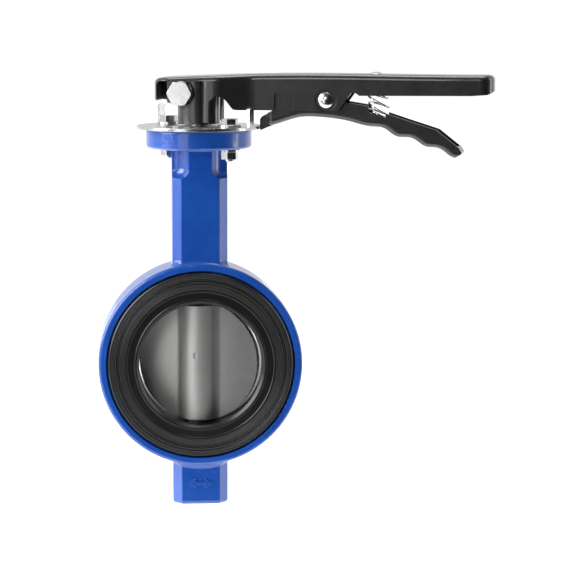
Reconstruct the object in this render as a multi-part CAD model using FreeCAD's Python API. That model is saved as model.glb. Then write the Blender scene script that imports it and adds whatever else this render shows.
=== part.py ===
"""Wafer butterfly valve, DN 100, with a notched hand lever.

Frame: origin where the stem axis (Z) crosses the pipe axis (Y). The stem and the
lever are drawn in the closed position, lever along +X, and then turned by REST_YAW.
All sizes are millimetres and degrees.
"""
import FreeCAD
import Part
import math
import os

V = FreeCAD.Vector
ORIGIN = V(0, 0, 0)
Z_AXIS = V(0, 0, 1)
Y_AXIS = V(0, 1, 0)

# ---- clearances -------------------------------------------------------------
RUN_FIT = 0.05        # radial, stem in its bushes and in the seat
DRIVE_FIT = 0.03      # stem in the disc and in the clamp hub
FREE_GAP = 0.3        # disc to seat
BOLT_GAP = 0.5        # radial, bolts in their holes
SLOT_GAP = 0.5        # each side, latch nose in a notch and latch in the lever

# ---- pipe bore, seat and ring ----------------------------------------------
FACE_TO_FACE = 52.0
BORE_R = 52.3
SEAT_WALL = 8.0
SEAT_LIP_R = 2.4
SEAT_FACE_W = 26.4            # bore to the edge of the seat face
SEAT_FACE_T = 7.0
SEAT_PROUD = 1.0
SEAT_GAP = 1.9
RIM_WALL = 6.4
RING_ROUND = 2.5
GROOVES = (5.0, 7.0, 9.0)      # distance of the fine grooves in from the seat face edge
BAND_OUT = 15.9                # width of the grooved zone, then a plain band
BAND_IN = 6.8
BAND_DROP = 0.6

# ---- disc and stems ----------------------------------------------------------
STEM_R = 7.9
STEM_AF = 11.0
DISC_WEB = 10.0
DISC_FLAT_DROP = 2.0           # flat hub ends, below the top of the sphere
HUB_ROUND = 6.0
SOCKET_END = 14.0
DRIVE_TOP = 38.0
CAST_MARK = (1.6, 5.5, 0.6)    # half width, length and depth of the dimple on the hub

# ---- neck, flange and lower boss ------------------------------------------
FLANGE_TOP = 200.0
FLANGE_T = 16.5
FLANGE_R = 45.0
FLANGE_ROUND = 2.5
BOLT_CIRCLE_R = 35.0
BOLT_R = 4.0
NECK_HALF_W = 23.5
NECK_SETBACK = 3.0
NECK_CORNER = 7.3
NECK_ROOT = 5.0
NECK_TOP_ROOT = 3.0
EDGE_ROUND = 1.5
SCALLOP_R = 15.2
SCALLOP_H = 25.0
SCALLOP_ROUND = 8.0
BOSS_END = -121.8
BOSS_ROUND = 3.5
STEM_CLEAR = 0.5
ARROW = (22.0, 9.0, 0.7)       # length, height and relief of the flow arrow
ARROW_Z = -103.0

# ---- bushes, seals, plug -----------------------------------------------------
BUSH_WALL = 2.1
BUSH_L = 40.0
GUIDE_BUSH_L = 22.0
BUSH_TOP_GAP = 8.0
SEAL_WIRE = 1.0
RING_WIRE = 1.2
RING_DEPTH = 1.0
PLUG_R = 11.0
PLUG_HEAD_R = 14.0
PLUG_HEAD_T = 4.0
PLUG_L = 12.0
PLUG_KEY_AF = 8.0
PLUG_KEY_DEEP = 7.0
GASKET_T = 1.0
END_PLAY = 2.0

# ---- notch plate and its bolts ------------------------------------------------
PLATE_T = 2.5
PLATE_R = 53.0
PLATE_BORE_R = 12.0
NOTCH_DEEP = 4.2
NOTCH_PITCH = 15.0
NOTCH_COUNT = 9
FIRST_NOTCH = -15.0
EAR_ANGLES = (-35.8, 125.8)
EAR_W = 6.8
EAR_TOP = 218.7
EAR_ROUND = 2.6
BOLT_ANGLES = (-45.0, 135.0)
FREE_HOLE_ANGLES = (45.0, 225.0)
HEAD_AF = 13.0
HEAD_H = 5.3
NUT_H = 6.5
WASHER_R = 9.8
WASHER_T = 1.8
NUT_WASHER_R = 8.6
BOLT_PROUD = 2.0

# ---- lever --------------------------------------------------------------------
REST_YAW = -15.0
SHEET = 2.8
HEAD_GAP = 1.2                 # clamp hub to the inside of the head
ARM_HALF = 14.5
HEAD_END = -36.0
HEAD_STRAIGHT = 20.0
ARM_START = 48.0
LEVER_END = 251.0
TOP_AT_END = 243.6
TOP_AT_ARM = 246.6
TOP_AT_TIP = 247.3
HEAD_FALL = 2.4                # how far the top falls at the head end
HEAD_CORNER = 14.0
TIP_CORNER = 10.0
TOP_ROUND = 4.5
HEAD_LOW = 223.2
ARCH_Z = 228.4
ARCH_GAP = 0.8                 # the arch starts this far past the hub
SKIRT_START = 33.0
SKIRT_LOW = 216.5
STEP_T = 122.0
STEP_TOP_T = 133.0
GRIP_START = 139.8
GRIP_LOW = 229.4
RELIEF_Z = 231.8
TIP_LOW = 231.0
DENT = (68.0, 84.0, 231.0, 1.7)
RIVET_DISH = (9.2, 0.7)

# ---- clamp hub -----------------------------------------------------------------
HUB_R = 18.0
HUB_FOOT_GAP = 1.5
SPLIT = 2.0
LUG_END = -25.0
LUG_HALF = 12.0
LUG_LOW = 221.5
CLAMP_T = -12.5
CLAMP_Z = 230.0
CLAMP_R = 6.0
CLAMP_AF = 19.0
CLAMP_HEAD = 7.5
CLAMP_NUT = 10.0
CLAMP_WASHER = (10.4, 2.5)
SPOT_R = 13.0
NUT_ACCESS_R = 11.6
BOSS_R = 6.0
BOSS_INSET = (5.4, 0.0)        # in from the hub's right side and from the skirt's skin
BOSS_LOW = 205.8

# ---- latch, rivet, spring --------------------------------------------------------
PIVOT_T = 111.5
PIVOT_Z = 225.5
PIVOT_R = 4.0
LATCH_WALL = 2.0
LATCH_ROUND = 5.0
NOSE_W = 5.6
NOSE_GAP = 0.4                 # latch nose outside the plate's rim, so that the stem turns freely
CHANNEL_START = 60.0
LATCH_TAIL = (220.6, 182.6, 4.6)   # where the rounded tail is centred, and its radius
RIVET_HEAD = (6.75, 2.6)
SPRING_TOP_T = 152.0
SPRING_FOOT = (155.3, 213.2)   # the foot sits in notches in both walls of the latch
SPRING_TILT = 24.0             # of the foot; the turns come level towards the top
SPRING_GAP = 1.6               # each side, coil to the inside of the lever
SPRING_WIRE = 0.7
SPRING_TURNS = 5.5
SPRING_CLOSED = 0.75           # turns laid flat at each end
SPRING_SEAT = (147.4, 161.4, 0.2)   # the notches' ends, and their room under the wire
STUD_R = 3.0
STUD_HEAD = (5.7, 1.7)
STUD_DEEP = 8.0

# ---- places worked out from the sizes above ------------------------------------
HALF_SEAT = FACE_TO_FACE / 2
HALF_RING = HALF_SEAT - SEAT_PROUD
BED_R = BORE_R + SEAT_WALL
SEAT_FACE_R = BORE_R + SEAT_FACE_W
COUNTER_R = SEAT_FACE_R + SEAT_GAP
RING_R = COUNTER_R + RIM_WALL
DISC_R = BORE_R - FREE_GAP
DISC_FLAT = DISC_R - DISC_FLAT_DROP
DISC_HUB_R = math.sqrt(DISC_R ** 2 - DISC_FLAT ** 2)
SEAT_FLAT = DISC_FLAT + FREE_GAP
FLANGE_LOW = FLANGE_TOP - FLANGE_T
NECK_HALF_D = HALF_RING - NECK_SETBACK
STEM_BORE_R = STEM_R + STEM_CLEAR
BUSH_IN_R = STEM_R + RUN_FIT
BUSH_OUT_R = BUSH_IN_R + BUSH_WALL
BUSH_TOP = FLANGE_TOP - BUSH_TOP_GAP
BUSH_LOW = BUSH_TOP - BUSH_L
SEAL_SHELF = BUSH_LOW - 4 * SEAL_WIRE
BED_FOOT = BED_R + 2.0
PLUG_SEAT = BOSS_END + PLUG_HEAD_T + GASKET_T
PLUG_TOP = PLUG_SEAT + PLUG_L
LOWER_STEM_END = PLUG_TOP + END_PLAY
LOWER_BUSH_LOW = LOWER_STEM_END + 1.0
PLATE_TOP = FLANGE_TOP + PLATE_T
HUB_FOOT = PLATE_TOP + HUB_FOOT_GAP
NOTCH_R = PLATE_R - NOTCH_DEEP
NOTCH_W = NOSE_W + 2 * SLOT_GAP
LATCH_HALF = ARM_HALF - SHEET - SLOT_GAP
NOSE_T = PLATE_R + NOSE_GAP
HEAD_HALF = HUB_R + HEAD_GAP + SHEET
BOSS_AT = (HUB_R - BOSS_INSET[0], HEAD_HALF - BOSS_R - BOSS_INSET[1])
WINDOW_END = BOSS_AT[0]
ARCH_T = HUB_R + ARCH_GAP
SPRING_R = ARM_HALF - SHEET - SPRING_GAP - SPRING_WIRE


def cylinder(radius, low, high, x=0.0, y=0.0):
    return Part.makeCylinder(radius, high - low, V(x, y, low), Z_AXIS)


def cross_cylinder(radius, start, end, x=0.0, z=0.0):
    """A cylinder along Y."""
    return Part.makeCylinder(radius, end - start, V(x, start, z), Y_AXIS)


def block(x0, x1, y0, y1, z0, z1):
    return Part.makeBox(x1 - x0, y1 - y0, z1 - z0, V(x0, y0, z0))


def around_z(angle, radius):
    a = math.radians(angle)
    return radius * math.cos(a), radius * math.sin(a)


def turned(shape, angle):
    copy = shape.copy()
    copy.rotate(ORIGIN, Z_AXIS, angle)
    return copy


def hexagon(across_flats, low, high, x=0.0, y=0.0, first=0.0):
    corner = across_flats / math.sqrt(3)
    angles = [math.radians(first + 60 * i) for i in range(7)]
    points = [V(x + corner * math.cos(a), y + corner * math.sin(a), low) for a in angles]
    return Part.Face(Part.makePolygon(points)).extrude(V(0, 0, high - low))


def rounded_hexagon(across_flats, low, high, x, y, first, both=False):
    """A bolt head or nut with its corners turned down at the top, or at both ends."""
    body = hexagon(across_flats, low, high, x, y, first)
    reach = across_flats / math.sqrt(3)
    face = (reach + across_flats / 2) / 2
    slope = (reach - face) * 0.8
    straight = (reach - face) * 0.1
    start = low + slope if both else low
    envelope = cylinder(reach + straight, start, high - slope, x, y)
    envelope = envelope.fuse(
        Part.makeCone(reach + straight, face, slope, V(x, y, high - slope), Z_AXIS)
    )
    if both:
        envelope = envelope.fuse(
            Part.makeCone(face, reach + straight, slope, V(x, y, low), Z_AXIS)
        )
    return body.common(envelope)


def lay_along_y(shape, x, z, start):
    """Turns a shape drawn up the Z axis from zero so that it points along -Y from `start`."""
    copy = shape.copy()
    copy.rotate(ORIGIN, V(1, 0, 0), 90)
    copy.translate(V(x, start, z))
    return copy


def side_face(edges_or_points, y):
    """A flat face in a plane across Y, from (x, z) points."""
    points = [V(x, y, z) for x, z in edges_or_points]
    return Part.Face(Part.makePolygon(points + points[:1]))


def smooth_edge(points, y):
    curve = Part.BSplineCurve()
    curve.interpolate([V(x, y, z) for x, z in points])
    return curve.toShape()


def clean(shape):
    return shape.removeSplitter()


def fillet_where(shape, radius, test):
    edges = [e for e in shape.Edges if test(e)]
    return shape.makeFillet(radius, edges)


def octagon(low, high):
    w, d, c = NECK_HALF_W, NECK_HALF_D, NECK_CORNER
    corner = [(w, d - c), (w - c, d), (c - w, d), (-w, d - c), (-w, c - d), (c - w, -d), (w - c, -d), (w, c - d)]
    points = [V(x, y, low) for x, y in corner]
    prism = Part.Face(Part.makePolygon(points + points[:1])).extrude(V(0, 0, high - low))
    return fillet_where(prism, EDGE_ROUND, lambda e: abs(e.tangentAt(e.FirstParameter).z) > 0.99)


def scallop(angle):
    """Room for a nut and a spanner at the top of the neck."""
    x, y = around_z(angle, BOLT_CIRCLE_R)
    cutter = cylinder(SCALLOP_R, FLANGE_LOW - SCALLOP_H, FLANGE_LOW, x, y)
    low = FLANGE_LOW - SCALLOP_H
    return fillet_where(cutter, SCALLOP_ROUND, lambda e: e.BoundBox.ZMax < low + 0.1)


def flow_arrow():
    """A raised double arrow on the front of the lower boss."""
    length, height, relief = ARROW
    tip, half, shaft = length / 2, height / 2, height / 6
    neck = tip - height * 0.8
    right = [(tip, 0), (neck, half), (neck, shaft)]
    outline = right + [(-x, z) for x, z in reversed(right)] + [(-x, -z) for x, z in right[1:]]
    outline += [(x, -z) for x, z in reversed(right[1:])]
    points = [(x, z + ARROW_Z) for x, z in outline]
    return side_face(points, -NECK_HALF_D - relief).extrude(V(0, relief + 1.0, 0))


def body_outside():
    ring = cross_cylinder(RING_R, -HALF_RING, HALF_RING)
    ring = fillet_where(ring, RING_ROUND, lambda e: e.Curve.TypeId == "Part::GeomCircle")
    column = octagon(BOSS_END, FLANGE_LOW)
    column = fillet_where(column, BOSS_ROUND, lambda e: e.BoundBox.ZMax < BOSS_END + 0.1)
    flange = cylinder(FLANGE_R, FLANGE_LOW, FLANGE_TOP)
    flange = fillet_where(flange, FLANGE_ROUND, lambda e: e.BoundBox.ZMax - e.BoundBox.ZMin < 0.1)
    body = clean(ring.fuse(column))

    def at_ring(edge):
        spots = [edge.valueAt(p) for p in (edge.FirstParameter, edge.LastParameter)]
        near = all(abs(math.hypot(p.x, p.z) - RING_R) < 0.05 for p in spots)
        return near and all(abs(p.x) < NECK_HALF_W + 0.1 for p in spots)

    body = fillet_where(body, NECK_ROOT, at_ring)
    body = body.fuse(flange)

    def at_flange(edge):
        box = edge.BoundBox
        inside = box.XMax < NECK_HALF_W + 0.1 and box.XMin > -NECK_HALF_W - 0.1
        return inside and abs(box.ZMax - FLANGE_LOW) < 0.01 and abs(box.ZMin - FLANGE_LOW) < 0.01

    body = fillet_where(body, NECK_TOP_ROOT, at_flange)
    return body.fuse(flow_arrow())


def body_casting():
    body = body_outside()
    for angle in BOLT_ANGLES + FREE_HOLE_ANGLES:
        body = body.cut(scallop(angle))
        x, y = around_z(angle, BOLT_CIRCLE_R)
        body = body.cut(cylinder(BOLT_R + BOLT_GAP, FLANGE_LOW - 1, FLANGE_TOP + 1, x, y))
    body = body.cut(cross_cylinder(BED_R, -HALF_RING - 1, HALF_RING + 1))
    shelf = HALF_SEAT - SEAT_FACE_T
    for side in (-1, 1):
        ends = sorted((side * shelf, side * (HALF_RING + 1)))
        body = body.cut(cross_cylinder(COUNTER_R, *ends))
    body = body.cut(cylinder(STEM_BORE_R, LOWER_STEM_END, FLANGE_TOP + 1))
    body = body.cut(cylinder(BUSH_OUT_R, SEAL_SHELF, FLANGE_TOP + 1))
    body = body.cut(cylinder(BUSH_OUT_R + RING_DEPTH, BUSH_TOP, BUSH_TOP + RING_WIRE))
    body = body.cut(cylinder(BUSH_OUT_R, BED_FOOT, BED_FOOT + GUIDE_BUSH_L))
    body = body.cut(cylinder(BUSH_OUT_R, PLUG_TOP, -BED_FOOT))
    body = body.cut(cylinder(PLUG_R, BOSS_END - 1, PLUG_TOP))
    body = body.cut(cylinder(PLUG_HEAD_R, BOSS_END - 1, PLUG_SEAT))
    return clean(body)


def seat_profile(side):
    """Half of the seat's section on one side of the disc, as (r, y) points."""
    edge = SEAT_FACE_R
    face = HALF_SEAT
    shelf = HALF_SEAT - SEAT_FACE_T
    band = edge - BAND_OUT
    plain = band - BAND_IN
    points = [(BORE_R, 0), (BORE_R, face - SEAT_LIP_R), (BORE_R + SEAT_LIP_R, face)]
    points += [(plain, face), (plain + BAND_DROP, face - BAND_DROP)]
    points += [(band - BAND_DROP, face - BAND_DROP), (band, face)]
    for inward in sorted(GROOVES, reverse=True):
        at = edge - inward
        points += [(at - 0.5, face), (at, face - 0.5), (at + 0.5, face)]
    points += [(edge - 1.0, face), (edge, face - 1.0), (edge, shelf), (BED_R, shelf), (BED_R, 0)]
    return [V(r, side * y, 0) for r, y in points]


def seat_liner():
    halves = []
    for side in (-1, 1):
        points = seat_profile(side)
        face = Part.Face(Part.makePolygon(points + points[:1]))
        halves.append(face.revolve(ORIGIN, Y_AXIS, 360))
    seat = halves[0].fuse(halves[1])
    pad_r = DISC_HUB_R + 1.5
    for end in (1, -1):
        low, high = sorted((end * SEAT_FLAT, end * (BORE_R + SEAT_WALL / 2)))
        seat = seat.fuse(cylinder(pad_r, low, high))
    seat = clean(seat)
    return seat.cut(cylinder(STEM_R + RUN_FIT, -BED_R - 1, BED_R + 1))


def disc():
    web = cross_cylinder(DISC_R, -DISC_WEB / 2, DISC_WEB / 2)
    hub = cylinder(DISC_HUB_R + HUB_ROUND / 3, -DISC_R, DISC_R)
    body = clean(web.fuse(hub))

    def in_corner(edge):
        if edge.Curve.TypeId != "Part::GeomLine":
            return False
        return abs(edge.tangentAt(edge.FirstParameter).z) > 0.99 and abs(edge.valueAt(0).x) < DISC_R - 1

    body = fillet_where(body, HUB_ROUND, in_corner)
    body = body.common(Part.makeSphere(DISC_R))
    body = body.common(block(-DISC_R, DISC_R, -DISC_R, DISC_R, -DISC_FLAT, DISC_FLAT))
    bore = STEM_R + DRIVE_FIT
    body = body.cut(cylinder(bore, DRIVE_TOP, DISC_R))
    body = body.cut(cylinder(bore, -DISC_R, -SOCKET_END))
    half = STEM_AF / 2 + DRIVE_FIT
    body = body.cut(block(-half, half, -half, half, SOCKET_END, DRIVE_TOP + 1))
    half_w, length, depth = CAST_MARK
    front = -DISC_HUB_R - HUB_ROUND / 3
    dimple = block(-half_w, half_w, front - 1, front + depth + 0.3, 4, 4 + length)
    dimple = fillet_where(dimple, half_w * 0.9, lambda e: abs(e.tangentAt(e.FirstParameter).y) > 0.99)
    return clean(body.cut(dimple))


def upper_stem():
    half = STEM_AF / 2
    top = TOP_AT_END - SHEET - 1.0
    shaft = cylinder(STEM_R, SOCKET_END, top)
    drive = block(-half, half, -half, half, SOCKET_END, DRIVE_TOP)
    head = block(-half, half, -half, half, HUB_FOOT - 0.5, top)
    trunk = cylinder(STEM_R, DRIVE_TOP, HUB_FOOT - 0.5)
    stem = trunk.fuse([drive, head]).common(shaft)
    return clean(stem)


def lower_stem():
    stem = cylinder(STEM_R, LOWER_STEM_END, -SOCKET_END)
    return fillet_where(stem, 1.0, lambda e: e.BoundBox.ZMax < LOWER_STEM_END + 0.1)


def bush(low, high):
    return cylinder(BUSH_OUT_R, low, high).cut(cylinder(BUSH_IN_R, low - 1, high + 1))


def stem_o_rings():
    middle = BUSH_OUT_R - SEAL_WIRE
    rings = [
        Part.makeTorus(middle, SEAL_WIRE, V(0, 0, SEAL_SHELF + SEAL_WIRE * (1 + 2 * i)), Z_AXIS)
        for i in range(2)
    ]
    return Part.makeCompound(rings)


def bush_retaining_ring():
    outer = cylinder(BUSH_OUT_R + RING_DEPTH, BUSH_TOP, BUSH_TOP + RING_WIRE)
    ring = outer.cut(cylinder(STEM_R + 1.0, BUSH_TOP - 1, BUSH_TOP + 3))
    return ring.cut(block(0, 20, -2, 2, BUSH_TOP - 1, BUSH_TOP + 3))


def bottom_plug():
    plug = cylinder(PLUG_R, PLUG_SEAT, PLUG_TOP)
    head = cylinder(PLUG_HEAD_R, BOSS_END, BOSS_END + PLUG_HEAD_T)
    collar = cylinder(PLUG_R, BOSS_END + PLUG_HEAD_T, PLUG_SEAT)
    plug = clean(plug.fuse([head, collar]))
    return plug.cut(hexagon(PLUG_KEY_AF, BOSS_END - 1, BOSS_END + PLUG_KEY_DEEP))


def bottom_plug_gasket():
    low = BOSS_END + PLUG_HEAD_T
    return cylinder(PLUG_HEAD_R, low, PLUG_SEAT).cut(cylinder(PLUG_R, low - 1, PLUG_SEAT + 1))


def notch_plate():
    plate = cylinder(PLATE_R, FLANGE_TOP, PLATE_TOP)
    for angle in EAR_ANGLES:
        ear = block(PLATE_R - PLATE_T, PLATE_R, -EAR_W / 2, EAR_W / 2, FLANGE_TOP, EAR_TOP)
        ear = fillet_where(
            ear, EAR_ROUND,
            lambda e: abs(e.tangentAt(e.FirstParameter).x) > 0.99 and e.BoundBox.ZMin > EAR_TOP - 0.1,
        )
        plate = plate.fuse(turned(ear, angle))
    plate = clean(plate)
    plate = plate.cut(cylinder(PLATE_BORE_R, FLANGE_TOP - 1, PLATE_TOP + 1))
    for angle in BOLT_ANGLES + FREE_HOLE_ANGLES:
        x, y = around_z(angle, BOLT_CIRCLE_R)
        plate = plate.cut(cylinder(BOLT_R + BOLT_GAP, FLANGE_TOP - 1, PLATE_TOP + 1, x, y))
    for step in range(NOTCH_COUNT):
        notch = block(NOTCH_R, PLATE_R + 2, -NOTCH_W / 2, NOTCH_W / 2, FLANGE_TOP - 1, PLATE_TOP + 1)
        notch = fillet_where(
            notch, 1.2,
            lambda e: abs(e.tangentAt(e.FirstParameter).z) > 0.99 and e.BoundBox.XMax < NOTCH_R + 0.1,
        )
        plate = plate.cut(turned(notch, FIRST_NOTCH + NOTCH_PITCH * step))
    return plate


def at_bolts(make):
    """The same piece at both plate bolts."""
    return Part.makeCompound([make(*around_z(angle, BOLT_CIRCLE_R)) for angle in BOLT_ANGLES])


def plate_bolt(x, y):
    under_head = PLATE_TOP + WASHER_T
    head = rounded_hexagon(HEAD_AF, under_head, under_head + HEAD_H, x, y, 8)
    end = FLANGE_LOW - WASHER_T - NUT_H - BOLT_PROUD
    shank = cylinder(BOLT_R, end, under_head, x, y)
    shank = shank.makeChamfer(0.8, [e for e in shank.Edges if e.BoundBox.ZMax < end + 0.1])
    return head.fuse(shank)


def plate_washer(x, y):
    ring = cylinder(WASHER_R, PLATE_TOP, PLATE_TOP + WASHER_T, x, y)
    ring = fillet_where(ring, 0.5, lambda e: e.BoundBox.ZMin > PLATE_TOP + WASHER_T - 0.1)
    return ring.cut(cylinder(BOLT_R + BOLT_GAP / 2, PLATE_TOP - 1, PLATE_TOP + WASHER_T + 1, x, y))


def nut_washer(x, y):
    low = FLANGE_LOW - WASHER_T
    ring = cylinder(NUT_WASHER_R, low, FLANGE_LOW, x, y)
    return ring.cut(cylinder(BOLT_R + BOLT_GAP / 2, low - 1, FLANGE_LOW + 1, x, y))


def flange_nut(x, y):
    top = FLANGE_LOW - WASHER_T
    nut = rounded_hexagon(HEAD_AF, top - NUT_H, top, x, y, 12, both=True)
    return nut.cut(cylinder(BOLT_R, top - NUT_H - 1, top + 1, x, y))


def lever_plan(inset):
    """The lever seen from above, drawn at z = 0 and raised well past its top."""
    head, arm = HEAD_HALF - inset, ARM_HALF - inset
    left, right = HEAD_END + inset, LEVER_END - inset
    upper = [(left, head), (HEAD_STRAIGHT, head), (ARM_START, arm), (right, arm)]
    outline = upper + [(x, -y) for x, y in reversed(upper)]
    points = [V(x, y, BOSS_LOW - 10) for x, y in outline]
    solid = Part.Face(Part.makePolygon(points + points[:1])).extrude(V(0, 0, 80))

    def upright(edge, low, high):
        return abs(edge.tangentAt(edge.FirstParameter).z) > 0.99 and low < edge.valueAt(0).x < high

    solid = fillet_where(solid, HEAD_CORNER - inset, lambda e: upright(e, left - 1, left + 1))
    solid = fillet_where(solid, TIP_CORNER - inset, lambda e: upright(e, right - 1, right + 1))
    return fillet_where(solid, 25.0, lambda e: upright(e, HEAD_STRAIGHT - 1, ARM_START + 1))


def lever_form(inset):
    """The pressed form, `inset` inside the outer skin, open below."""
    tops = [
        (HEAD_END - 4, TOP_AT_END - HEAD_FALL), (HEAD_END + 4, TOP_AT_END - 0.3 * HEAD_FALL),
        (HEAD_END + 14, TOP_AT_END), (ARM_START, TOP_AT_ARM), (LEVER_END + 5, TOP_AT_TIP),
    ]
    tops = [(x, z - inset) for x, z in tops]
    edge = smooth_edge(tops, -60)
    floor = BOSS_LOW - 20
    low = Part.makePolygon([
        V(tops[-1][0], -60, tops[-1][1]), V(tops[-1][0], -60, floor),
        V(tops[0][0], -60, floor), V(tops[0][0], -60, tops[0][1]),
    ])
    under_top = Part.Face(Part.Wire([edge] + low.Edges)).extrude(V(0, 120, 0))
    form = lever_plan(inset).common(under_top)
    lowest = tops[0][1] - 1.0
    return fillet_where(form, TOP_ROUND - inset, lambda e: e.BoundBox.ZMin > lowest)


def lever_side():
    """All that stays of the pressed form, seen from the side."""
    outline = [
        (HEAD_END - 3, HEAD_LOW + 6), (HEAD_END, HEAD_LOW + 4), (HEAD_END + 1.5, HEAD_LOW + 1.3),
        (HEAD_END + 4.5, HEAD_LOW), (WINDOW_END, HEAD_LOW), (ARCH_T, ARCH_Z), (ARCH_T + 6, ARCH_Z - 1.2),
        (ARCH_T + 9.5, ARCH_Z - 5), (ARCH_T + 12, SKIRT_LOW + 3.4), (SKIRT_START, SKIRT_LOW + 0.6),
        (SKIRT_START + 3, SKIRT_LOW), (STEP_T, SKIRT_LOW), (STEP_TOP_T, RELIEF_Z - 0.2),
        (GRIP_START - 3.3, RELIEF_Z), (GRIP_START, GRIP_LOW), (LEVER_END - 18, GRIP_LOW + 0.7),
        (LEVER_END - 4.5, TIP_LOW), (LEVER_END - 1.3, TIP_LOW + 1.5), (LEVER_END + 3, TIP_LOW + 5),
        (LEVER_END + 3, TOP_AT_TIP + 10), (HEAD_END - 3, TOP_AT_TIP + 10),
    ]
    return side_face(outline, -60).extrude(V(0, 120, 0))


def head_window():
    """The front of the head is open around the clamp bolt."""
    left = HEAD_END + SHEET
    window = block(left, WINDOW_END, -HEAD_HALF - 5, -HEAD_HALF + SHEET + 9, HEAD_LOW - 5, TOP_AT_END - SHEET)
    return fillet_where(
        window, 5.0,
        lambda e: abs(e.tangentAt(e.FirstParameter).y) > 0.99 and e.BoundBox.ZMin > HEAD_LOW
        and e.BoundBox.XMax < left + 0.1,
    )


def skirt_dent(side):
    """A shallow rectangle pressed into the skirt."""
    start, end, top, deep = DENT
    outer = side * (ARM_HALF + 1)
    inner = side * (ARM_HALF - deep)
    low, high = sorted((outer, inner))
    dent = block(start, end, low, high, SKIRT_LOW - 1, top)
    return fillet_where(
        dent, 2.0,
        lambda e: abs(e.tangentAt(e.FirstParameter).y) > 0.99 and e.BoundBox.ZMin > SKIRT_LOW,
    )


def lever():
    body = lever_form(0).cut(lever_form(SHEET)).common(lever_side())
    body = body.cut(head_window())
    hub_space = cylinder(HUB_R, BOSS_LOW - 10, TOP_AT_TIP)
    inside = lever_form(0)
    for side in (-1, 1):
        x, y = BOSS_AT
        boss = cylinder(BOSS_R, BOSS_LOW, TOP_AT_TIP, x, side * y)
        boss = boss.common(inside).cut(hub_space)
        keep = block(0, 40, -40, 40, BOSS_LOW - 5, TOP_AT_TIP)
        body = body.fuse(boss.common(keep))
        body = body.cut(skirt_dent(side))
        radius, deep = RIVET_DISH
        dish = sorted((side * (ARM_HALF - deep), side * (ARM_HALF + 1)))
        body = body.cut(cross_cylinder(radius, dish[0], dish[1], PIVOT_T, PIVOT_Z))
    body = body.cut(cross_cylinder(PIVOT_R, -40, 40, PIVOT_T, PIVOT_Z))
    body = body.cut(cross_cylinder(NUT_ACCESS_R, 0, 40, CLAMP_T, CLAMP_Z))
    body = body.cut(cylinder(STUD_R, SKIRT_LOW, TOP_AT_TIP + 5, SPRING_TOP_T))
    return clean(body)


def lever_hub():
    drum = cylinder(HUB_R, HUB_FOOT, TOP_AT_TIP)
    drum = fillet_where(drum, 1.0, lambda e: e.BoundBox.ZMax < HUB_FOOT + 0.1)
    lug = block(LUG_END, 0, -LUG_HALF, LUG_HALF, LUG_LOW, TOP_AT_TIP)
    slope = [(LUG_END - 1, LUG_LOW + 1), (LUG_END - 1, HUB_FOOT), (9, HUB_FOOT), (9, LUG_LOW - 8)]
    lug = lug.fuse(block(CLAMP_T, 0, -LUG_HALF, LUG_HALF, LUG_LOW - 8, LUG_LOW))
    lug = lug.cut(side_face(slope, -60).extrude(V(0, 120, 0)))
    hub = clean(drum.fuse(lug)).common(lever_form(SHEET))
    half = STEM_AF / 2 + DRIVE_FIT
    hub = hub.cut(block(-half, half, -half, half, HUB_FOOT - 1, TOP_AT_TIP))
    hub = hub.cut(block(LUG_END - 5, 0, -SPLIT / 2, SPLIT / 2, HUB_FOOT - 1, TOP_AT_TIP))
    hub = hub.cut(cross_cylinder(CLAMP_R + BOLT_GAP / 2, -40, 40, CLAMP_T, CLAMP_Z))
    for side in (-1, 1):
        ends = sorted((side * LUG_HALF, side * 40))
        hub = hub.cut(cross_cylinder(SPOT_R, ends[0], ends[1], CLAMP_T, CLAMP_Z))
    return hub


def clamp_bolt():
    """Drawn up the Z axis with its head on top, then laid on its side."""
    washer_t = CLAMP_WASHER[1]
    reach = 2 * (LUG_HALF + washer_t) + CLAMP_NUT + 2.5
    head = rounded_hexagon(CLAMP_AF, 0, CLAMP_HEAD, 0, 0, -3)
    shank = Part.makeCylinder(CLAMP_R, reach, V(0, 0, -reach), Z_AXIS)
    shank = shank.makeChamfer(1.2, [e for e in shank.Edges if e.BoundBox.ZMax < -reach + 0.1])
    return lay_along_y(head.fuse(shank), CLAMP_T, CLAMP_Z, -LUG_HALF - washer_t)


def clamp_washers():
    radius, thick = CLAMP_WASHER
    rings = []
    for start in (-LUG_HALF - thick, LUG_HALF):
        ring = cross_cylinder(radius, start, start + thick, CLAMP_T, CLAMP_Z)
        hole = cross_cylinder(CLAMP_R + BOLT_GAP / 2, start - 1, start + thick + 1, CLAMP_T, CLAMP_Z)
        rings.append(ring.cut(hole))
    return Part.makeCompound(rings)


def clamp_nut():
    nut = rounded_hexagon(CLAMP_AF, 0, CLAMP_NUT, 0, 0, 20, both=True)
    nut = nut.cut(cylinder(CLAMP_R, -1, CLAMP_NUT + 1))
    return lay_along_y(nut, CLAMP_T, CLAMP_Z, LUG_HALF + CLAMP_WASHER[1] + CLAMP_NUT)


# The latch seen from the side, as (along the lever, height), nose first.
LATCH_FOOT = [
    (57.0, 200.4), (72.0, 205.7), (89.0, 210.6), (106.0, 210.8), (131.4, 207.3), (149.0, 203.4),
    (159.9, 202.0), (166.2, 197.6), (172.0, 195.0), (182.1, 194.4), (188.6, 191.0), (194.5, 187.4),
    (203.6, 186.4), (210.5, 183.2), (215.2, 179.6), (219.2, 178.0),
]
LATCH_TOP = [
    (225.8, 182.0), (223.1, 186.6), (204.3, 201.3), (175.7, 210.3), (161.6, 214.9), (145.7, 221.0),
    (127.4, 223.9), (119.0, 232.0), (112.0, 235.0), (103.0, 233.5), (66.2, 216.6), (55.0, 210.7),
]


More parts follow.
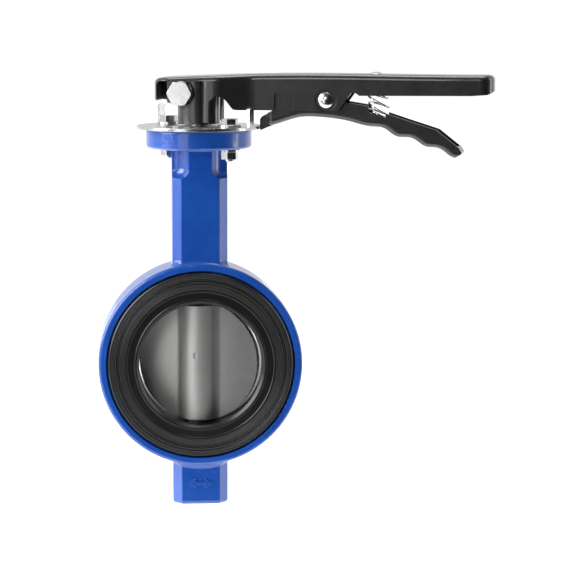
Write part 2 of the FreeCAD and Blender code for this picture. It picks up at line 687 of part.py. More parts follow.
def raised(points, distance):
    """The same line, moved square to itself towards +Z."""
    moved = []
    for i, (x, z) in enumerate(points):
        x0, z0 = points[max(i - 1, 0)]
        x1, z1 = points[min(i + 1, len(points) - 1)]
        length = math.hypot(x1 - x0, z1 - z0)
        moved.append((x - distance * (z1 - z0) / length, z + distance * (x1 - x0) / length))
    return moved


def beyond_tail():
    """What comes off the end of the latch to leave it round."""
    x, z, radius = LATCH_TAIL
    along, across = (0.88, -0.475), (0.475, 0.88)
    corners = [(a, b) for a, b in ((0, -12), (12, -12), (12, 12), (0, 12))]
    points = [(x + a * along[0] + b * across[0], z + a * along[1] + b * across[1]) for a, b in corners]
    end = side_face(points, -60).extrude(V(0, 120, 0))
    return end.cut(cross_cylinder(radius, -60, 60, x, z))


def trigger():
    nose = [(NOSE_T, 208.3), (NOSE_T, 200.0), (NOSE_T + 0.8, 199.2), (NOSE_T + 1.8, 199.5)]
    foot = smooth_edge(nose[-1:] + LATCH_FOOT, -LATCH_HALF)
    rest = [LATCH_FOOT[-1]] + LATCH_TOP + nose
    lines = Part.makePolygon([V(x, -LATCH_HALF, z) for x, z in rest])
    body = Part.Face(Part.Wire([foot] + lines.Edges)).extrude(V(0, 2 * LATCH_HALF, 0))
    nose_half = NOSE_W / 2
    for side in (-1, 1):
        ends = sorted((side * nose_half, side * (LATCH_HALF + 1)))
        body = body.cut(block(NOSE_T - 5, CHANNEL_START, ends[0], ends[1], 190, 225))

    def shoulder(edge):
        at = edge.CenterOfMass
        return abs(at.x - CHANNEL_START) < 0.2 and abs(abs(at.y) - LATCH_HALF) < 0.1

    body = fillet_where(body, 5.0, shoulder)

    def along_foot(edge):
        box = edge.BoundBox
        return box.XMax - box.XMin > 80 and box.ZMin < 190 and abs(edge.CenterOfMass.y) > LATCH_HALF - 0.2

    body = fillet_where(body, min(LATCH_ROUND, 0.45 * LATCH_HALF), along_foot)
    floor = raised(LATCH_FOOT, LATCH_WALL)
    floor = [p for p in floor if p[0] > CHANNEL_START + 8]
    inner = smooth_edge(floor, LATCH_WALL - LATCH_HALF)
    over = Part.makePolygon([
        V(x, LATCH_WALL - LATCH_HALF, z)
        for x, z in (floor[-1], (floor[-1][0] + 14, 245), (floor[0][0] - 3, 245), floor[0])
    ])
    hollow = Part.Face(Part.Wire([inner] + over.Edges)).extrude(V(0, 2 * (LATCH_HALF - LATCH_WALL), 0))
    body = body.cut(hollow).cut(beyond_tail())
    start, end, room = SPRING_SEAT
    seat = [
        (t, SPRING_FOOT[1] - (t - SPRING_FOOT[0]) * math.tan(math.radians(SPRING_TILT)) - SPRING_WIRE - room)
        for t in (start, end)
    ]
    body = body.cut(side_face(seat + [(end + 0.8, 245), (start - 0.8, 245)], -60).extrude(V(0, 120, 0)))
    return body.cut(cross_cylinder(PIVOT_R + RUN_FIT, -40, 40, PIVOT_T, PIVOT_Z))


def rivet_head(side):
    """A dome on the outside of the skirt."""
    radius, height = RIVET_HEAD
    seat = ARM_HALF - RIVET_DISH[1]
    sphere = (radius ** 2 + height ** 2) / (2 * height)
    ball = Part.makeSphere(sphere, V(PIVOT_T, side * (seat + height - sphere), PIVOT_Z))
    ends = sorted((side * seat, side * (seat + height + 1)))
    return ball.common(cross_cylinder(radius, ends[0], ends[1], PIVOT_T, PIVOT_Z))


def trigger_pivot_rivet():
    seat = ARM_HALF - RIVET_DISH[1]
    shank = cross_cylinder(PIVOT_R, -seat, seat, PIVOT_T, PIVOT_Z)
    return clean(shank.fuse([rivet_head(-1), rivet_head(1)]))


def spring_top_z():
    return TOP_AT_ARM - SHEET - SPRING_WIRE - 0.4


def spring_point(turn):
    """Where the middle of the wire is, so many turns up from the foot."""
    closed = SPRING_CLOSED * 2.1 * SPRING_WIRE
    length = spring_top_z() - SPRING_FOOT[1]
    if turn < SPRING_CLOSED:
        rise = closed * turn / SPRING_CLOSED
    elif turn > SPRING_TURNS - SPRING_CLOSED:
        rise = length - closed * (SPRING_TURNS - turn) / SPRING_CLOSED
    else:
        rise = closed + (length - 2 * closed) * (turn - SPRING_CLOSED) / (SPRING_TURNS - 2 * SPRING_CLOSED)
    share = rise / length
    tilt = math.radians(SPRING_TILT * (1 - share ** 3))
    angle = -2 * math.pi * turn
    middle = SPRING_FOOT[0] + (SPRING_TOP_T - SPRING_FOOT[0]) * share
    out = SPRING_R * math.cos(angle)
    return V(middle + out * math.cos(tilt), SPRING_R * math.sin(angle), SPRING_FOOT[1] + rise - out * math.sin(tilt))


def trigger_spring():
    """A left-hand coil from the latch up to the underside of the lever."""
    count = round(SPRING_TURNS * 16)
    points = [spring_point(SPRING_TURNS * i / count) for i in range(count + 1)]
    curve = Part.BSplineCurve()
    curve.interpolate(points)
    section = Part.Wire(Part.makeCircle(SPRING_WIRE, points[0], points[1] - points[0]))
    return Part.Wire(curve.toShape()).makePipeShell([section], True, True)


def spring_stud():
    radius, height = STUD_HEAD
    seat = TOP_AT_ARM + (TOP_AT_TIP - TOP_AT_ARM) * (SPRING_TOP_T - ARM_START) / (LEVER_END - ARM_START)
    seat += 0.45
    sphere = (radius ** 2 + height ** 2) / (2 * height)
    ball = Part.makeSphere(sphere, V(SPRING_TOP_T, 0, seat + height - sphere))
    cap = ball.common(cylinder(radius, seat - 0.35, seat + height + 1, SPRING_TOP_T))
    shank = cylinder(STUD_R, seat - SHEET - STUD_DEEP, seat, SPRING_TOP_T)
    form = lever_form(0).cut(cylinder(STUD_R, SKIRT_LOW, TOP_AT_TIP + 5, SPRING_TOP_T))
    return clean(cap.fuse(shank)).cut(form)


FIXED = {
    "body_casting": body_casting,
    "seat_liner": seat_liner,
    "stem_bush": lambda: bush(BUSH_LOW, BUSH_TOP),
    "guide_bush": lambda: bush(BED_FOOT, BED_FOOT + GUIDE_BUSH_L),
    "lower_stem_bush": lambda: bush(LOWER_BUSH_LOW, -BED_FOOT),
    "stem_o_rings": stem_o_rings,
    "bush_retaining_ring": bush_retaining_ring,
    "bottom_plug": bottom_plug,
    "bottom_plug_gasket": bottom_plug_gasket,
    "notch_plate": notch_plate,
    "notch_plate_bolts": lambda: at_bolts(plate_bolt),
    "notch_plate_washers": lambda: at_bolts(plate_washer),
    "flange_nut_washers": lambda: at_bolts(nut_washer),
    "flange_nuts": lambda: at_bolts(flange_nut),
}
TURNING = {
    "disc": disc,
    "upper_stem": upper_stem,
    "lower_stem": lower_stem,
    "lever": lever,
    "lever_hub": lever_hub,
    "clamp_bolt": clamp_bolt,
    "clamp_washers": clamp_washers,
    "clamp_nut": clamp_nut,
    "trigger_pivot_rivet": trigger_pivot_rivet,
    "spring_stud": spring_stud,
    "trigger": trigger,
    "trigger_spring": trigger_spring,
}

os.makedirs("parts", exist_ok=True)
for name, make in FIXED.items():
    make().exportStep(f"parts/{name}.step")
for name, make in TURNING.items():
    turned(make(), REST_YAW).exportStep(f"parts/{name}.step")
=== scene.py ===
import math
import bpy
from mathutils import Matrix, Vector


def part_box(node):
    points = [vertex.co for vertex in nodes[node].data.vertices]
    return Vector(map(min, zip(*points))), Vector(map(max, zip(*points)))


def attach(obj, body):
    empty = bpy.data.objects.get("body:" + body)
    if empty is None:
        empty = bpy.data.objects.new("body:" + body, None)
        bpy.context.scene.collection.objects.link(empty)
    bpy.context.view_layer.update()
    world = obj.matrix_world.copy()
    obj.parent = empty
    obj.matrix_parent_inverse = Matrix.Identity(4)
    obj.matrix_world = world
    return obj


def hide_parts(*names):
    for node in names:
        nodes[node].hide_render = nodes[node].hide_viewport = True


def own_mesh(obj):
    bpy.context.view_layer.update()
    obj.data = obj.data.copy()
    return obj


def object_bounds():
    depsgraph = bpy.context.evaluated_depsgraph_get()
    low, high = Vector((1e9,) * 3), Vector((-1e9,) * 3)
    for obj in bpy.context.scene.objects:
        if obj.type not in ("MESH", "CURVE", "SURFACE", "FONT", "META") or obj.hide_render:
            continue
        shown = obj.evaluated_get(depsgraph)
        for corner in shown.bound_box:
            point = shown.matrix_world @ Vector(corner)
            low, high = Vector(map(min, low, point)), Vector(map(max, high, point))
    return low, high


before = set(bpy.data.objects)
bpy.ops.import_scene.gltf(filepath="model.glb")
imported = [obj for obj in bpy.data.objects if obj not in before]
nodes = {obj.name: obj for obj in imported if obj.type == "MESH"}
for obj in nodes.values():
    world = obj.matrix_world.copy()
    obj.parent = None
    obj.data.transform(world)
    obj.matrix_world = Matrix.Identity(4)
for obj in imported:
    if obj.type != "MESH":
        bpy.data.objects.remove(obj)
cad_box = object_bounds()


# ---- Body casting -----------------------------------------------------------
# One iron casting: the ring that goes between the pipe flanges, the eight-sided
# neck, the round top flange and the lower boss. It is blasted, then sprayed with
# a thick glossy blue enamel that softens the sand-cast skin and the parting line.

class Value:
    """An output socket that sums and products can be written with."""

    def __init__(self, owner, socket):
        self.owner = owner
        self.socket = socket

    def math(self, operation, first, second=0.0):
        return self.owner.node("ShaderNodeMath", {"operation": operation}, {0: first, 1: second})

    def __add__(self, other):
        return self.math("ADD", self, other)

    __radd__ = __add__

    def __sub__(self, other):
        return self.math("SUBTRACT", self, other)

    def __rsub__(self, other):
        return self.math("SUBTRACT", other, self)

    def __mul__(self, other):
        return self.math("MULTIPLY", self, other)

    __rmul__ = __mul__

    def __abs__(self):
        return self.math("ABSOLUTE", self)


class Network:
    """A node tree, and the one way that nodes are added to it."""

    def __init__(self, tree):
        self.tree = tree

    def feed(self, node, inputs):
        for key, value in inputs.items():
            name = key.replace("_", " ") if isinstance(key, str) else key
            socket = node.inputs[name]
            if isinstance(value, Value):
                self.tree.links.new(value.socket, socket)
            else:
                socket.default_value = value

    def node(self, kind, settings=None, inputs=None, out=0):
        node = self.tree.nodes.new(kind)
        for key, value in (settings or {}).items():
            setattr(node, key, value)
        self.feed(node, inputs or {})
        return Value(self, node.outputs[out]) if node.outputs else None


class Finish(Network):
    """A material and its shader."""

    def __init__(self, name, **constants):
        self.material = bpy.data.materials.new(name)
        self.material.use_nodes = True
        super().__init__(self.material.node_tree)
        self.shader = self.tree.nodes["Principled BSDF"]
        self.feed(self.shader, constants)
        self.place = self.node("ShaderNodeTexCoord", out="Object")

    def shade(self, **inputs):
        self.feed(self.shader, inputs)

    def cover(self, *names):
        for name in names:
            nodes[name].data.materials.clear()
            nodes[name].data.materials.append(self.material)


def grain(finish, scale, detail=3.0, rough=0.55):
    """Soft random variation, 0 to 1, with features about 1/scale metres wide."""
    return finish.node(
        "ShaderNodeTexNoise", {},
        {"Vector": finish.place, "Scale": scale, "Detail": detail, "Roughness": rough},
    )


def step_up(finish, value, low, high):
    """0 below low, 1 above high, smooth between."""
    return finish.node(
        "ShaderNodeMapRange", {"interpolation_type": "SMOOTHSTEP"},
        {"Value": value, "From Min": low, "From Max": high},
    )


MIX_FACTOR, MIX_FIRST_COLOUR, MIX_SECOND_COLOUR, MIX_COLOUR_OUT = 0, 6, 7, 2


def blend_colour(finish, factor, first, second):
    """The first colour where the factor is 0, the second where it is 1."""
    return finish.node(
        "ShaderNodeMix", {"data_type": "RGBA"},
        {MIX_FACTOR: factor, MIX_FIRST_COLOUR: first, MIX_SECOND_COLOUR: second}, out=MIX_COLOUR_OUT,
    )


def eased(finish, radius):
    """Normals that round an edge off by about radius metres."""
    return finish.node("ShaderNodeBevel", {"samples": 4}, {"Radius": radius})


def relief(finish, height, depth, normal):
    """Normals bumped by a height of 0 to 1 that stands for depth metres."""
    return finish.node(
        "ShaderNodeBump", {}, {"Strength": 1.0, "Distance": depth, "Height": height, "Normal": normal}
    )


PARTING_HALF = 0.0009
blue = Finish("blue_enamel", Roughness=0.2, Coat_Weight=0.55, Coat_Roughness=0.05, Coat_IOR=1.5)
cloud = grain(blue, 26)
sand = grain(blue, 240, 4.0, 0.6)
peel = grain(blue, 620, 1.0)
off_middle = abs(blue.node("ShaderNodeSeparateXYZ", {}, {0: blue.place}, out="Y"))
seam = 1.0 - step_up(blue, off_middle, 0.0, PARTING_HALF)
tone = cloud * 0.75 + sand * 0.25
cast_skin = cloud * 0.9 + sand * 0.42 + peel * 0.1 + seam * 0.55
blue.shade(
    Base_Color=blend_colour(
        blue, step_up(blue, tone, 0.3, 0.7), (0.008, 0.066, 0.36, 1), (0.013, 0.090, 0.44, 1)
    ),
    Roughness=0.17 + 0.13 * sand,
    Normal=relief(blue, cast_skin, 0.0005, eased(blue, 0.0009)),
)
blue.cover("body_casting")


# ---- Seat liner ---------------------------------------------------------------
# A black rubber sleeve that lines the bore and wraps over both faces, where it
# seals on the pipe flanges. It is moulded, with a ribbed zone, a plain band and
# a rounded lip at the bore, and keeps the dull sheen of a greased mould.
RIB_PITCH = 0.00118
RIB_IN = 0.0640
RIB_OUT = 0.0772
RIB_FADE = 0.0006
FACE_FROM = 0.0245
FACE_TO = 0.0255
rubber = Finish("seat_rubber", Specular_IOR_Level=0.5)
across = rubber.node(
    "ShaderNodeVectorMath", {"operation": "MULTIPLY"}, {0: rubber.place, 1: (1, 0, 1)}
)
radius = rubber.node("ShaderNodeVectorMath", {"operation": "LENGTH"}, {0: across}, out="Value")
along_pipe = rubber.node("ShaderNodeSeparateXYZ", {}, {0: rubber.place}, out="Y")
on_face = step_up(rubber, abs(along_pipe), FACE_FROM, FACE_TO)
rib_zone_in = step_up(rubber, radius, RIB_IN, RIB_IN + RIB_FADE)
rib_zone_out = step_up(rubber, radius, RIB_OUT - RIB_FADE, RIB_OUT)
zone = rib_zone_in - rib_zone_out
rib = rubber.node("ShaderNodeMath", {"operation": "SINE"}, {0: radius * (2 * math.pi / RIB_PITCH)})
skin = grain(rubber, 900, 2.0)
bloom = grain(rubber, 45, 4.0)
moulded = rib * zone * on_face * 0.30 + skin * 0.16 + bloom * 0.16
rubber.shade(
    Base_Color=blend_colour(rubber, bloom, (0.0035, 0.0037, 0.004, 1), (0.008, 0.008, 0.0085, 1)),
    Roughness=0.25 + 0.12 * bloom + 0.05 * skin,
    Normal=relief(rubber, moulded, 0.00032, eased(rubber, 0.0006)),
)
rubber.cover("seat_liner", "stem_o_rings", "bottom_plug_gasket")


# ---- Bushes -------------------------------------------------------------------
# Three plain bearings of pale filled plastic, pressed into the neck and the lower
# boss. They are turned from bar, so they carry fine rings.
plastic = Finish("bearing_plastic", Specular_IOR_Level=0.4)
turning = plastic.node(
    "ShaderNodeTexWave", {"bands_direction": "Z"},
    {"Vector": plastic.place, "Scale": 900, "Distortion": 0.6},
)
plastic.shade(
    Base_Color=blend_colour(
        plastic, grain(plastic, 120), (0.60, 0.58, 0.52, 1), (0.70, 0.68, 0.62, 1)
    ),
    Roughness=0.42 + 0.12 * turning,
    Normal=relief(plastic, turning, 0.00005, eased(plastic, 0.0003)),
)
plastic.cover("stem_bush", "guide_bush", "lower_stem_bush")


# ---- Stems ----------------------------------------------------------------------
# Two ground stainless shafts, the upper one with a square at each end: the lower
# square drives the disc and the upper one sits in the lever's clamp hub.
steel = Finish("ground_steel", Metallic=1.0, Specular_IOR_Level=0.5)
drawn = steel.node(
    "ShaderNodeTexWave", {"bands_direction": "Z"},
    {"Vector": steel.place, "Scale": 1500, "Distortion": 2.0},
)
steel.shade(
    Base_Color=blend_colour(steel, grain(steel, 90), (0.50, 0.50, 0.49, 1), (0.62, 0.62, 0.61, 1)),
    Roughness=0.24 + 0.14 * drawn,
    Normal=relief(steel, drawn, 0.00003, eased(steel, 0.0004)),
)
steel.cover("upper_stem", "lower_stem", "bush_retaining_ring")


# ---- Disc -------------------------------------------------------------------------
# An iron casting with a nickel coat: a round blade with a tall hub down its middle
# for the two stems. The faces keep a fine blasted grain, and the rim is polished where
# it meets the rubber. The faces' base colour is painted darker towards one side, a
# painted shade standing in for the shade and dark reflections that side gets.
DISC_POLISH = 0.0515
POLISH_FADE = 0.0003
# Where the painted shade across the disc faces begins and where it is full, along X.
PAINTED_SHADE_FROM = -0.034
PAINTED_SHADE_TO = 0.052
nickel = Finish("cast_nickel", Specular_IOR_Level=0.5)
blast = grain(nickel, 1500, 2.0, 0.7)
cast = grain(nickel, 130, 5.0, 0.6)
stain = grain(nickel, 24, 3.0)
far = nickel.node("ShaderNodeVectorMath", {"operation": "LENGTH"}, {0: nickel.place}, out="Value")
rim = step_up(nickel, far, DISC_POLISH, DISC_POLISH + POLISH_FADE)
sideways_place = nickel.node("ShaderNodeSeparateXYZ", {}, {0: nickel.place}, out="X")
# Painted shade: 0 on the lit side, 1 on the shaded side, with a wavy edge.
painted_shade_side = step_up(nickel, sideways_place + 0.02 * stain, PAINTED_SHADE_FROM, PAINTED_SHADE_TO)
# Lit and shaded copies of the same coat; the darker one is painted shade.
lit_side_coat = blend_colour(
    nickel, stain * 0.6 + cast * 0.4, (0.50, 0.50, 0.485, 1), (0.66, 0.66, 0.65, 1)
)
painted_shade_coat = blend_colour(
    nickel, stain * 0.5 + cast * 0.5, (0.105, 0.105, 0.105, 1), (0.19, 0.19, 0.19, 1)
)
blasted = (blast * 0.3 + cast * 0.6) * (1.0 - rim) + stain * 0.4
nickel.shade(
    Base_Color=blend_colour(nickel, painted_shade_side * (1.0 - rim), lit_side_coat, painted_shade_coat),
    Metallic=0.62 + 0.3 * rim,
    Roughness=0.42 - 0.2 * rim + 0.1 * cast,
    Normal=relief(nickel, blasted, 0.00028, eased(nickel, 0.0006)),
)
nickel.cover("disc")


# ---- Notch plate --------------------------------------------------------------------
# A stamped steel plate, bright zinc, on top of the flange. Its two bent ears stop the
# lever, and the notches round one quarter hold the latch. A short line is stamped
# behind each notch so that a hand can read how far the disc is open.
TICK_IN = 0.0418
TICK_OUT = 0.0462
TICK_PITCH = math.radians(15)
TICK_HALF = 0.00042
TICK_FADE = 0.0002
QUARTER_MIDDLE = math.radians(45)
QUARTER_HALF = math.radians(62)
QUARTER_FADE = 0.02
zinc = Finish("bright_zinc", Metallic=1.0, Specular_IOR_Level=0.5)
ROLLED_GRAIN = (60, 700, 200)
rolled = zinc.node("ShaderNodeMapping", {}, {"Vector": zinc.place, "Scale": ROLLED_GRAIN})
streak = zinc.node("ShaderNodeTexNoise", {}, {"Vector": rolled, "Scale": 1.0, "Detail": 3.0})
spangle = grain(zinc, 85, 4.0)
flat = zinc.node("ShaderNodeVectorMath", {"operation": "MULTIPLY"}, {0: zinc.place, 1: (1, 1, 0)})
reach = zinc.node("ShaderNodeVectorMath", {"operation": "LENGTH"}, {0: flat}, out="Value")
east = zinc.node("ShaderNodeSeparateXYZ", {}, {0: zinc.place}, out="X")
north = zinc.node("ShaderNodeSeparateXYZ", {}, {0: zinc.place}, out="Y")
bearing = zinc.node("ShaderNodeMath", {"operation": "ARCTAN2"}, {0: north, 1: east})
beside = zinc.node("ShaderNodeMath", {"operation": "PINGPONG"}, {0: bearing, 1: TICK_PITCH / 2})
sideways = beside * reach
from_middle = abs(bearing - QUARTER_MIDDLE)
swept = 1.0 - step_up(zinc, from_middle, QUARTER_HALF, QUARTER_HALF + QUARTER_FADE)
past_start = step_up(zinc, reach, TICK_IN, TICK_IN + TICK_FADE)
past_end = step_up(zinc, reach, TICK_OUT, TICK_OUT + TICK_FADE)
on_line = 1.0 - step_up(zinc, sideways, TICK_HALF * 0.5, TICK_HALF)
tick = on_line * (past_start - past_end) * swept
shine = blend_colour(zinc, spangle, (0.46, 0.47, 0.50, 1), (0.70, 0.70, 0.69, 1))
zinc.shade(
    Base_Color=blend_colour(zinc, tick, shine, (0.16, 0.16, 0.17, 1)),
    Roughness=0.13 + 0.16 * spangle + 0.05 * streak + 0.2 * tick,
    Normal=relief(zinc, streak * 0.2 + spangle * 0.35 - tick * 1.2, 0.00012, eased(zinc, 0.0005)),
)
zinc.cover("notch_plate")


# ---- Plate bolts, nuts and washers ------------------------------------------------
# Two bright zinc bolts clamp the plate to the flange, each with a washer under its
# head and a washer and a nut below. The thread that stands out of each nut is cut
# metal, a little duller than the plated heads.
plated = Finish("plated_fastener", Metallic=1.0, Specular_IOR_Level=0.5)
dull = grain(plated, 420, 3.0)
wave = grain(plated, 60, 2.0)
plated.shade(
    Base_Color=blend_colour(plated, wave, (0.50, 0.51, 0.53, 1), (0.72, 0.72, 0.71, 1)),
    Roughness=0.12 + 0.14 * dull,
    Normal=relief(plated, dull * 0.3 + wave * 0.7, 0.00009, eased(plated, 0.00045)),
)
plated.cover("notch_plate_bolts", "notch_plate_washers")
plated.cover("flange_nut_washers", "flange_nuts", "bottom_plug")


def grid_piece(name, rows, finish, body):
    """A skin through rows of points, closed round each row and capped at both ends."""
    count = len(rows[0])
    faces = []
    for row in range(len(rows) - 1):
        for i in range(count):
            j = (i + 1) % count
            low, high = row * count, (row + 1) * count
            faces.append((low + i, low + j, high + j, high + i))
    faces.append(tuple(reversed(range(count))))
    faces.append(tuple(range((len(rows) - 1) * count, len(rows) * count)))
    mesh = bpy.data.meshes.new(name)
    mesh.from_pydata([p for row in rows for p in row], [], faces)
    mesh.polygons.foreach_set("use_smooth", [True] * len(mesh.polygons))
    mesh.materials.append(finish.material)
    piece = bpy.data.objects.new(name, mesh)
    bpy.context.scene.collection.objects.link(piece)
    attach(piece, body)
    return piece


THREAD_SIDES = 40
STEPS_PER_PITCH = 8
OVER_SHANK = 0.012
THREAD_DEPTH = 0.11
THREAD_LEVEL = 0.35
END_TAPER = 0.10
TAPER_PITCHES = 0.5


def cut_thread(name, start, direction, radius, length, pitch, body):
    """The standing end of a bolt: a screw-shaped skin round its shank."""
    along = Vector(direction).normalized()
    side = along.orthogonal().normalized()
    other = along.cross(side)
    steps = round(length / pitch * STEPS_PER_PITCH)
    rows = []
    for s in range(steps + 1):
        far = length * s / steps
        row = []
        for i in range(THREAD_SIDES):
            turn = i / THREAD_SIDES
            phase = (far / pitch - turn) % 1.0
            crest = 1.0 - abs(phase * 2 - 1)
            out = radius * (1.0 + OVER_SHANK) + THREAD_DEPTH * pitch * (crest - THREAD_LEVEL)
            out *= 1.0 - END_TAPER * max(0.0, 1.0 - (length - far) / (pitch * TAPER_PITCHES))
            angle = 2 * math.pi * turn
            spin = side * math.cos(angle) + other * math.sin(angle)
            row.append(Vector(start) + along * far + spin * out)
        rows.append(row)
    grid_piece(name, rows, plated, body)


M8_R = 0.004
M8_PITCH = 0.00125
PLATE_BOLT_AT = 0.035 / math.sqrt(2)
INSIDE_NUT = 0.0004
PAST_SHANK = 0.0005
nut_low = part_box("flange_nuts")[0][2]
bolt_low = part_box("notch_plate_bolts")[0][2]
plate_bolt_length = nut_low - bolt_low + PAST_SHANK
for tag, sign in (("front", 1), ("rear", -1)):
    start = (sign * PLATE_BOLT_AT, -sign * PLATE_BOLT_AT, nut_low + INSIDE_NUT)
    cut_thread(
        f"plate_bolt_thread_{tag}", start, (0, 0, -1), M8_R, plate_bolt_length, M8_PITCH, "valve_body"
    )


# ---- Lever and clamp hub -------------------------------------------------------------
# The lever is a channel pressed from thick sheet, open underneath, with a wide head
# round the split hub that grips the stem's square. Both wear the same hard black
# enamel, which shows the ripple of the pressing in its shine.
black = Finish("black_enamel", Coat_Weight=0.7, Coat_Roughness=0.06, Coat_IOR=1.5)
ripple = grain(black, 30, 2.0)
orange = grain(black, 520, 2.0)
dusting = grain(black, 75, 5.0, 0.65)
pressed = ripple * 1.0 + orange * 0.14 + dusting * 0.1
black.shade(
    Base_Color=blend_colour(black, dusting, (0.006, 0.0063, 0.007, 1), (0.014, 0.0145, 0.016, 1)),
    Roughness=0.26 + 0.14 * dusting,
    Normal=relief(black, pressed, 0.0005, eased(black, 0.0007)),
)
black.cover("lever", "lever_hub")


# ---- Clamp bolt -------------------------------------------------------------------------
# A large plated bolt across the lever's head that closes the split hub on the stem.
# Its nut sits in the access hole at the back, with a few turns of thread showing.
M12_R = 0.006
M12_PITCH = 0.00175
THREAD_BEHIND_NUT = 0.0046
THREAD_SHOWN = 0.0032
plated.cover("clamp_bolt", "clamp_washers", "clamp_nut")
REST_YAW = math.radians(-15)
lever_turn = Matrix.Rotation(REST_YAW, 3, "Z")
nut_box = [Vector(corner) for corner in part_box("clamp_nut")]
nut_middle = (nut_box[0] + nut_box[1]) / 2
rearward = lever_turn @ Vector((0, 1, 0))
thread_start = nut_middle + rearward * THREAD_BEHIND_NUT
cut_thread(
    "clamp_bolt_thread", thread_start, rearward, M12_R, THREAD_SHOWN, M12_PITCH, "stem_and_lever"
)


# ---- Latch, rivet and stud ---------------------------------------------------------------
# The latch is a narrower channel that hangs from a domed rivet inside the lever. Its
# nose stands just outside the plate, in line with a notch, and the fingers squeeze its
# wavy tail. The rivet and the spring's stud are left bright.
black.cover("trigger")
plated.cover("trigger_pivot_rivet", "spring_stud")


# ---- Latch spring ---------------------------------------------------------------------------
# A left-hand compression spring of bright wire. Its foot sits in notches in the latch's
# walls and so tilts with them, and its top turn lies flat under the lever. The real spring
# closes up as the latch is squeezed; this coil is one fixed shape.
WIRE_R = 0.00078
COIL_R = 0.0094
COIL_TURNS = 5.5
CLOSED_TURNS = 0.75
FOOT_ALONG, FOOT_Z = 0.1553, 0.2132
TOP_ALONG, TOP_Z = 0.1520, 0.2427
FOOT_TILT = math.radians(24)
CLOSED_RISE = 2.1
STEPS_PER_TURN = 44
WIRE_SIDES = 14


def coil_rise(turn):
    """Height over the foot: nearly flat in the closed turns at each end."""
    closed = CLOSED_TURNS * WIRE_R * CLOSED_RISE
    length = TOP_Z - FOOT_Z
    if turn < CLOSED_TURNS:
        return closed * turn / CLOSED_TURNS
    if turn > COIL_TURNS - CLOSED_TURNS:
        return length - closed * (COIL_TURNS - turn) / CLOSED_TURNS
    open_turns = COIL_TURNS - 2 * CLOSED_TURNS
    return closed + (length - 2 * closed) * (turn - CLOSED_TURNS) / open_turns


def coil_point(turn):
    """Middle of the wire, tilted at the foot and level at the top."""
    rise = coil_rise(turn)
    share = rise / (TOP_Z - FOOT_Z)
    tilt = FOOT_TILT * (1 - share ** 3)
    angle = -2 * math.pi * turn
    out = COIL_R * math.cos(angle)
    along = FOOT_ALONG + (TOP_ALONG - FOOT_ALONG) * share + out * math.cos(tilt)
    height = FOOT_Z + rise - out * math.sin(tilt)
    return lever_turn @ Vector((along, COIL_R * math.sin(angle), height))


NEARBY = 0.01
rows = []
steps = round(COIL_TURNS * STEPS_PER_TURN)
for s in range(steps + 1):
    turn = COIL_TURNS * s / steps
    here = coil_point(turn)
    ahead = coil_point(min(turn + NEARBY, COIL_TURNS))
    behind = coil_point(max(turn - NEARBY, 0.0))
    along = (ahead - behind).normalized()
    outward = along.cross(Vector((0, 0, 1))).normalized()
    inward = along.cross(outward)
    ring = [2 * math.pi * i / WIRE_SIDES for i in range(WIRE_SIDES)]
    rows.append([here + (outward * math.cos(a) + inward * math.sin(a)) * WIRE_R for a in ring])
spring = grid_piece("trigger_spring_coil", rows, plated, "stem_and_lever")
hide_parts("trigger_spring")
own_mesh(spring)


# ---- Studio -------------------------------------------------------------------------------
# A white table and a white surround behind and beside the valve, a large soft light on
# the left, a narrower one on the right and one above. The room in front is kept dark,
# so that gloss paint and plated metal have something dark to mirror.
TABLE_DROP = 0.16
TABLE_FRONT = -0.45
TABLE_BACK = 9
TABLE_SIDE = 6
table = bpy.data.meshes.new("table")
table_z = cad_box[0][2] - TABLE_DROP
table_corners = [
    (-TABLE_SIDE, TABLE_FRONT), (TABLE_SIDE, TABLE_FRONT),
    (TABLE_SIDE, TABLE_BACK), (-TABLE_SIDE, TABLE_BACK),
]
table.from_pydata([(x, y, table_z) for x, y in table_corners], [], [(0, 1, 2, 3)])
table_top = bpy.data.objects.new("table", table)
bpy.context.scene.collection.objects.link(table_top)
white = Finish(
    "table_white", Base_Color=(0.9, 0.9, 0.9, 1), Roughness=0.6,
    Emission_Color=(1, 1, 1, 1), Emission_Strength=0.7,
)
table.materials.append(white.material)


def soft_light(name, place, target, width, height, power):
    """A rectangular lamp of so many watts that the camera doesn't see."""
    lamp = bpy.data.lights.new(name, "AREA")
    lamp.shape = "RECTANGLE"
    lamp.size = width
    lamp.size_y = height
    lamp.energy = power
    holder = bpy.data.objects.new(name, lamp)
    holder.location = place
    holder.rotation_euler = (Vector(target) - Vector(place)).to_track_quat("-Z", "Y").to_euler()
    holder.visible_camera = False
    bpy.context.scene.collection.objects.link(holder)


middle = (0.03, 0.0, 0.06)
soft_light("left_softbox", (-1.25, -0.35, 0.75), middle, 0.9, 1.3, 30)
soft_light("right_strip", (1.4, -0.15, 0.45), middle, 0.35, 1.3, 6)
soft_light("overhead", (0.1, 0.1, 1.7), middle, 1.2, 0.8, 16)
soft_light("front_light", (-0.62, -1.5, 0.75), middle, 0.5, 0.5, 4)
soft_light("left_card", (-0.76, -1.0, -0.02), (-0.1, 0.0, 0.03), 0.50, 0.90, 2.4)

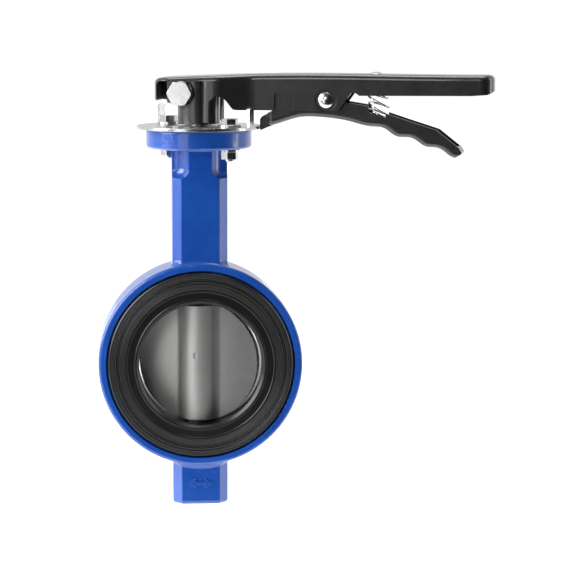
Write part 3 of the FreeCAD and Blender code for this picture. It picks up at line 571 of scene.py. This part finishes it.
world = bpy.data.worlds.new("surround")
world.use_nodes = True
world.node_tree.nodes.clear()
room = Network(world.node_tree)
towards = room.node("ShaderNodeTexCoord", out="Generated")
rearward_part = room.node("ShaderNodeSeparateXYZ", {}, {0: towards}, out="Y")
leftward_part = 0.0 - room.node("ShaderNodeSeparateXYZ", {}, {0: towards}, out="X")
DARK_FROM, BRIGHT_FROM = -0.80, 0.45
DARK_GLOW, BRIGHT_GLOW = 0.02, 0.80
BACKDROP_GLOW = 1.02
WHITE_LIGHT = (1, 1, 1, 1)
glow = room.node(
    "ShaderNodeMapRange", {"interpolation_type": "SMOOTHSTEP"},
    {
        "Value": rearward_part + 0.12 * leftward_part,
        "From Min": DARK_FROM, "From Max": BRIGHT_FROM,
        "To Min": DARK_GLOW, "To Max": BRIGHT_GLOW,
    },
)
lit = room.node("ShaderNodeBackground", {}, {"Color": WHITE_LIGHT, "Strength": glow})
backdrop = room.node("ShaderNodeBackground", {}, {"Color": WHITE_LIGHT, "Strength": BACKDROP_GLOW})
seen = room.node("ShaderNodeLightPath", out="Is Camera Ray")
surround = room.node("ShaderNodeMixShader", {}, {0: seen, 1: lit, 2: backdrop})
room.node("ShaderNodeOutputWorld", {}, {"Surface": surround})
bpy.context.scene.world = world
bpy.context.scene.view_settings.view_transform = "Standard"

CAMERA_TURN = math.radians(-3.685)
CAMERA_DROP = math.radians(7.39)
CAMERA_FAR = 2.122
CAMERA_AIM = (0.04, 0.0, 0.06)
lens = bpy.data.cameras.new("camera")
lens.lens = 155.5
lens.sensor_width = 36.0
lens.shift_x = 0.0702
lens.shift_y = 0.0086
lens.clip_end = 40
camera = bpy.data.objects.new("camera", lens)
aim = Vector(CAMERA_AIM)
back = Vector((math.sin(CAMERA_TURN), -math.cos(CAMERA_TURN), 0)) * math.cos(CAMERA_DROP)
back.z = math.sin(CAMERA_DROP)
camera.location = aim + back * CAMERA_FAR
camera.rotation_euler = (-back).to_track_quat("-Z", "Y").to_euler()
bpy.context.scene.collection.objects.link(camera)
bpy.context.scene.camera = camera
